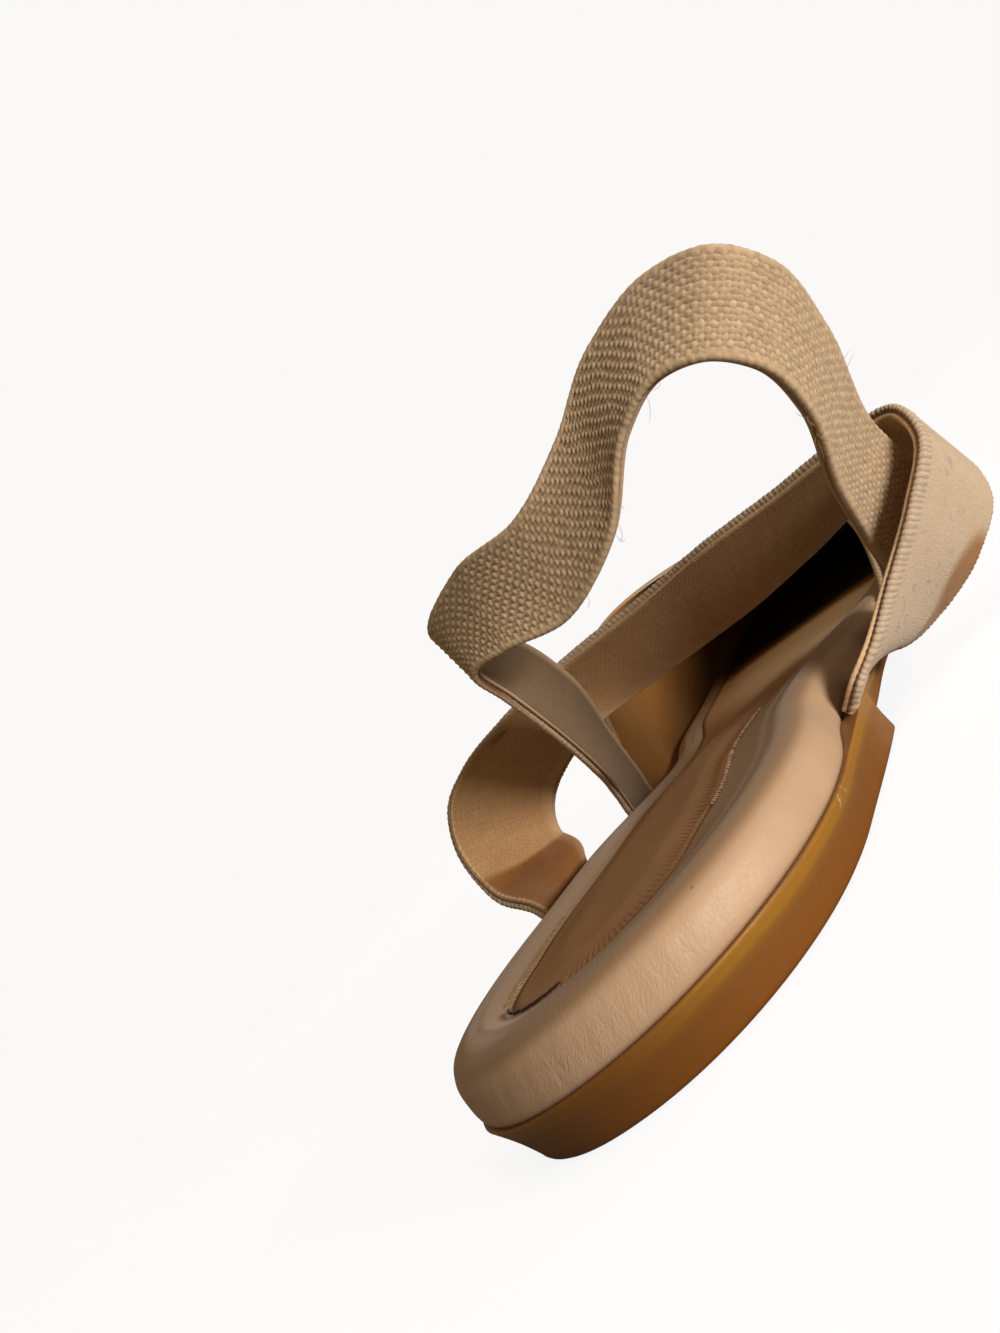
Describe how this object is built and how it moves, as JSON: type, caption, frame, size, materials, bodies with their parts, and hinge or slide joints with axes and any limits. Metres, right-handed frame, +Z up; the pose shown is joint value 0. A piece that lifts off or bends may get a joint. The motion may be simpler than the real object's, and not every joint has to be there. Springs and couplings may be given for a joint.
{
  "type": "slingback ballet flat",
  "caption": "Flat shoe with a closed canvas toe, a webbing instep band and heel sling, a padded leather footbed and a low rubber unit sole.",
  "frame": {"origin": "middle of the shoe's bounding box, at floor level", "axes": "+X to the wearer's right, +Y from heel to toe, +Z up"},
  "size_m": [0.1056, 0.245, 0.0661],
  "materials": {
    "outsole": "amber gum rubber, satin",
    "footbed": "champagne, soft sheen",
    "sock_panel": "champagne, satin",
    "vamp": "linen canvas, matt",
    "instep_band": "linen webbing, matt",
    "sling_strap": "linen webbing, matt"
  },
  "bodies": {
    "root": {"outsole": "outsole", "footbed": "footbed", "sock_panel": "sock_panel", "vamp": "vamp", "instep_band": "instep_band", "sling_strap": "sling_strap"}
  },
  "joints": []
}
